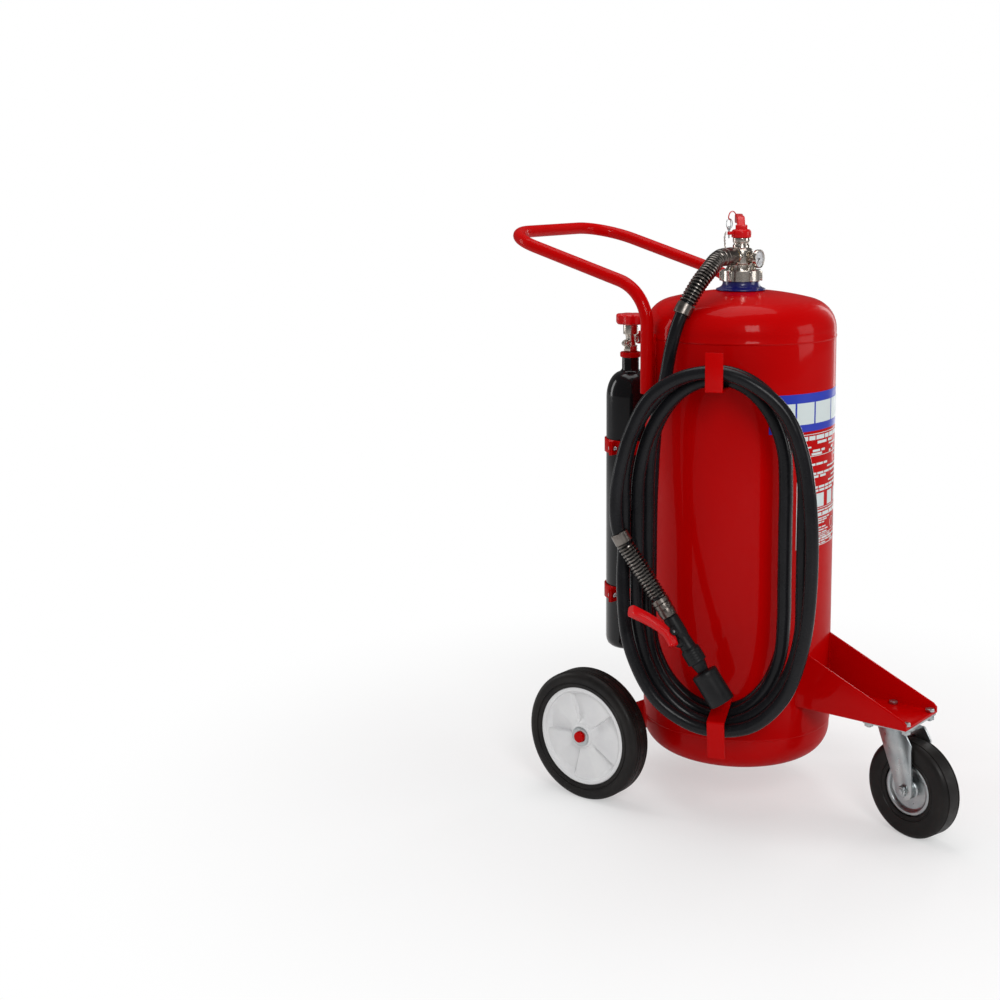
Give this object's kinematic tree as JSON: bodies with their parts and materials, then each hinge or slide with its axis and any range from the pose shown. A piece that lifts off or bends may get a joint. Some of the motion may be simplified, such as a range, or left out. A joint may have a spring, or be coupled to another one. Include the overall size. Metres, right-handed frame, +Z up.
{
  "type": "wheeled fire extinguisher",
  "caption": "Trolley fire extinguisher: red tank on two wheels and a swivel caster, hose coil with squeeze nozzle, quarter-turn valve, gas bottle and push handle.",
  "frame": {"origin": "on the floor, under the middle of the object's outline without the hose and nozzle; the tank's axis is 6.6 mm behind it", "axes": "+Z up, +X to the right seen from the front, +Y to the back: the caster is in front at -Y, the push handle and gas bottle at +Y, the hose on the -X side"},
  "size_m": [0.7139, 1.0297, 1.251],
  "materials": {
    "red_enamel": "glossy red enamel",
    "red_lacquer": "red lacquer on cast metal",
    "blue_paint": "glossy blue enamel",
    "bottle_enamel": "glossy black enamel",
    "nickel": "nickel-plated brass",
    "zinc": "bright zinc plate",
    "spring_steel": "oiled spring steel",
    "hose_rubber": "smooth black rubber",
    "tyre_rubber": "matt black rubber",
    "seal_rubber": "black rubber",
    "black_plastic": "moulded black plastic",
    "white_plastic": "moulded white plastic",
    "gauge_glass": "clear lens"
  },
  "bodies": {
    "chassis": {"caster_bracket": "red_enamel", "caster_plate": "zinc", "dip_tube": "zinc", "gas_bottle": "bottle_enamel", "gas_neck_ring": "red_enamel", "gas_outlet_cap": "red_lacquer", "gas_valve_body": "nickel", "gauge_case": "nickel", "gauge_glass": "gauge_glass", "handle_frame": "red_enamel", "hose_coil": "hose_rubber", "hose_ferrule": "nickel", "hose_guard": "spring_steel", "hose_nut": "nickel", "hose_outer_run": "hose_rubber", "hose_top_run": "hose_rubber", "left_axle_bracket": "red_enamel", "left_washer": "zinc", "lower_clamp_bolt_1": "zinc", "lower_clamp_bolt_2": "zinc", "lower_hook": "red_enamel", "lower_saddle": "red_enamel", "lower_strap": "red_enamel", "neck_collar": "blue_paint", "neck_gasket": "seal_rubber", "nozzle_barrel": "black_plastic", "nozzle_body": "black_plastic", "nozzle_ferrule": "zinc", "nozzle_guard": "spring_steel", "nozzle_pin": "zinc", "plate_bolt_1": "zinc", "plate_bolt_2": "zinc", "plate_bolt_3": "zinc", "plate_bolt_4": "zinc", "rear_axle": "red_enamel", "right_axle_bracket": "red_enamel", "right_washer": "zinc", "ring_nut": "nickel", "tank_shell": "red_enamel", "upper_clamp_bolt_1": "zinc", "upper_clamp_bolt_2": "zinc", "upper_hook": "red_enamel", "upper_saddle": "red_enamel", "upper_strap": "red_enamel", "valve_body": "nickel"},
    "left_wheel": {"left_tyre": "tyre_rubber", "left_hub": "white_plastic"},
    "right_wheel": {"right_tyre": "tyre_rubber", "right_hub": "white_plastic"},
    "caster": {"caster_fork": "zinc", "caster_axle": "zinc"},
    "caster_wheel": {"caster_tyre": "tyre_rubber", "caster_rim": "zinc"},
    "valve_lever": {"valve_lever": "red_lacquer", "valve_spindle": "nickel"},
    "safety_pin": {"safety_pin": "zinc", "pin_ring": "zinc"},
    "nozzle_lever": {"nozzle_lever": "red_lacquer"},
    "gas_handwheel": {"gas_handwheel": "red_lacquer"},
    "gauge_needle": {"gauge_needle": "black_plastic"}
  },
  "joints": [
    {"name": "left_wheel_spin", "type": "hinge", "parent": "chassis", "child": "left_wheel", "pos_m": [-0.2535, 0.22006, 0.14], "axis": [1, 0, 0], "continuous": true},
    {"name": "right_wheel_spin", "type": "hinge", "parent": "chassis", "child": "right_wheel", "pos_m": [0.2535, 0.22006, 0.14], "axis": [1, 0, 0], "continuous": true},
    {"name": "caster_swivel", "type": "hinge", "parent": "chassis", "child": "caster", "pos_m": [0, -0.37644, 0.2], "axis": [0, 0, 1], "continuous": true},
    {"name": "caster_wheel_spin", "type": "hinge", "parent": "caster", "child": "caster_wheel", "pos_m": [-0.00968, -0.41525, 0.1], "axis": [0.9703, -0.2419, 0], "continuous": true},
    {"name": "valve_lever_turn", "type": "hinge", "parent": "chassis", "child": "valve_lever", "pos_m": [0, 0.00656, 1.21], "axis": [0, 0, 1], "range_deg": [0, 90]},
    {"name": "safety_pin_pull", "type": "slide", "parent": "valve_lever", "child": "safety_pin", "axis": [0, 0, 1], "range_m": [0, 0.035]},
    {"name": "nozzle_lever_squeeze", "type": "hinge", "parent": "chassis", "child": "nozzle_lever", "pos_m": [-0.32648, -0.03505, 0.42673], "axis": [0.1578, 0.8481, -0.5059], "range_deg": [0, 18]},
    {"name": "gas_handwheel_turn", "type": "hinge", "parent": "chassis", "child": "gas_handwheel", "pos_m": [0, 0.28656, 1], "axis": [0, 0, 1], "range_deg": [0, 540]},
    {"name": "gauge_needle_swing", "type": "hinge", "parent": "chassis", "child": "gauge_needle", "pos_m": [0, -0.03544, 1.1575], "axis": [0, 1, 0], "range_deg": [0, 250]}
  ]
}
